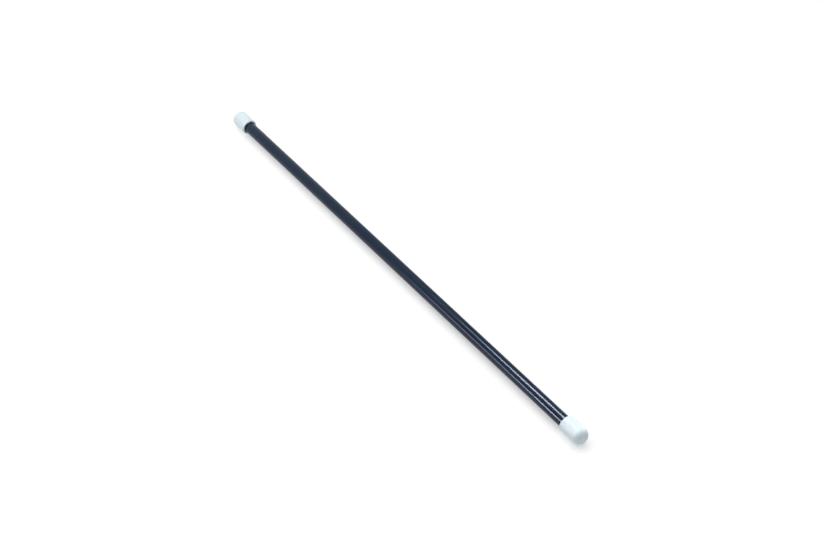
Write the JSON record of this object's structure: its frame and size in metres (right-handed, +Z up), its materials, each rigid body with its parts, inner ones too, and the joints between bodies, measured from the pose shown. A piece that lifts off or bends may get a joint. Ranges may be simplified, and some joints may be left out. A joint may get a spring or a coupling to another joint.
{
  "type": "door security bar",
  "caption": "Straight round bar of dark enamelled steel tube with a reinforced rubber tip pushed over each end, laid in a sliding door's track to keep the door shut.",
  "frame": {"origin": "middle of the bar, on the tube's axis", "axes": "+X along the tube towards the door end, +Z up with the bar lying level"},
  "size_m": [1.2192, 0.0358, 0.0358],
  "materials": {
    "enamelled_tube": "gloss navy-black enamel",
    "white_rubber": "satin moulded rubber",
    "zinc_plated_steel": "bright zinc plate"
  },
  "bodies": {
    "bar": {"steel_tube": "enamelled_tube"},
    "door_tip": {"door_end_tip": "white_rubber", "door_end_washer": "zinc_plated_steel"},
    "jamb_tip": {"jamb_end_tip": "white_rubber", "jamb_end_washer": "zinc_plated_steel"}
  },
  "joints": [
    {"name": "door_end_tip_pull", "type": "slide", "parent": "bar", "child": "door_tip", "axis": [1, 0, 0], "range_m": [0, 0.06]},
    {"name": "jamb_end_tip_pull", "type": "slide", "parent": "bar", "child": "jamb_tip", "axis": [-1, 0, 0], "range_m": [0, 0.06]}
  ]
}
